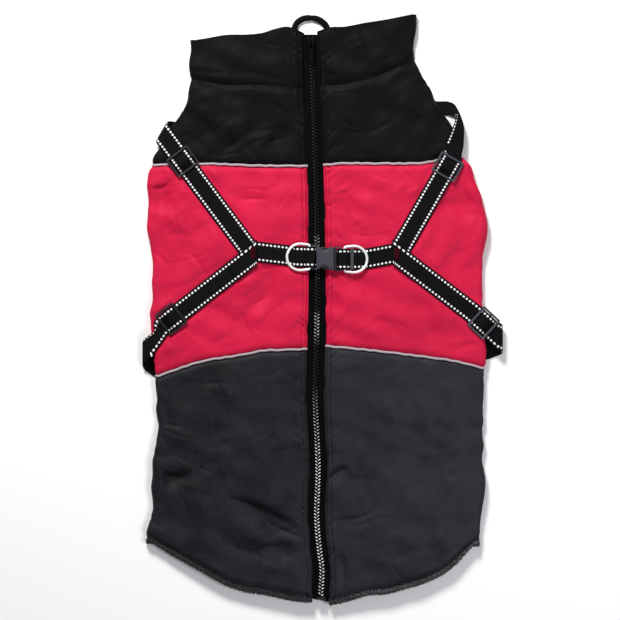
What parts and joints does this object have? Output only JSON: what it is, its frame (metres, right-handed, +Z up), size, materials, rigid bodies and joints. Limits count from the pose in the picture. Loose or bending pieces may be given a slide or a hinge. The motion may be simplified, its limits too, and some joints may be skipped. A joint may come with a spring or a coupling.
{
  "type": "dog coat",
  "caption": "Padded black and red dog coat with a front-to-hem zip, webbing harness, buckle, D-rings and stand collar, laid flat with its zip side up.",
  "frame": {"origin": "on the flat underside of the belly panel, on the zip's middle line, about half way down the coat", "axes": "+X across the coat to the right of the picture, +Y from the hem to the collar, +Z up from the surface it lies on"},
  "size_m": [0.3612, 0.5913, 0.0218],
  "materials": {
    "black_shell": "padded woven polyester, soft sheen",
    "red_shell": "padded woven polyester, soft sheen",
    "fleece": "short grey-black fleece, matte",
    "reflective": "pale reflective piping, satin",
    "webbing": "ribbed black polyester webbing with pale reflective stitches",
    "black_plastic": "moulded, fine grain",
    "buckle_plastic": "moulded, grey-black",
    "zip_teeth": "black coil with bright glints",
    "dark_metal": "black lacquered zinc",
    "bright_metal": "polished nickel plate"
  },
  "bodies": {
    "coat": {"belly_panel": "black_shell", "buckle_plug": "buckle_plastic", "buckle_socket": "buckle_plastic", "collar_back": "black_shell", "collar_left": "black_shell", "collar_right": "black_shell", "glide_lower_left": "black_plastic", "glide_lower_right": "black_plastic", "glide_upper_left": "black_plastic", "glide_upper_right": "black_plastic", "hang_loop": "webbing", "hem_left": "fleece", "hem_right": "fleece", "leg_binding_left": "fleece", "leg_binding_right": "fleece", "lower_left": "black_shell", "lower_right": "black_shell", "piping_lower_left": "reflective", "piping_lower_right": "reflective", "piping_upper_left": "reflective", "piping_upper_right": "reflective", "red_left": "red_shell", "red_right": "red_shell", "slide_bar": "buckle_plastic", "strap_lower_left": "webbing", "strap_lower_right": "webbing", "strap_middle_left": "webbing", "strap_middle_right": "webbing", "strap_upper_left": "webbing", "strap_upper_right": "webbing", "yoke_left": "black_shell", "yoke_right": "black_shell", "zip_box": "black_plastic", "zip_chain": "zip_teeth", "zip_slider": "dark_metal", "zip_tape_left": "webbing", "zip_tape_right": "webbing"},
    "ring_left": {"ring_left": "bright_metal"},
    "ring_right": {"ring_right": "bright_metal"},
    "zip_pull": {"zip_pull": "dark_metal"}
  },
  "joints": [
    {"name": "ring_left_hinge", "type": "hinge", "parent": "coat", "child": "ring_left", "pos_m": [-0.0085, 0.05289, 0.0171], "axis": [0, 1, 0], "range_deg": [0, 110]},
    {"name": "ring_right_hinge", "type": "hinge", "parent": "coat", "child": "ring_right", "pos_m": [0.0265, 0.0507, 0.0171], "axis": [0, -1, 0], "range_deg": [0, 110]},
    {"name": "zip_pull_hinge", "type": "hinge", "parent": "coat", "child": "zip_pull", "pos_m": [-0.00692, 0.2665, 0.01454], "axis": [-1, 0, 0], "range_deg": [0, 170]}
  ]
}
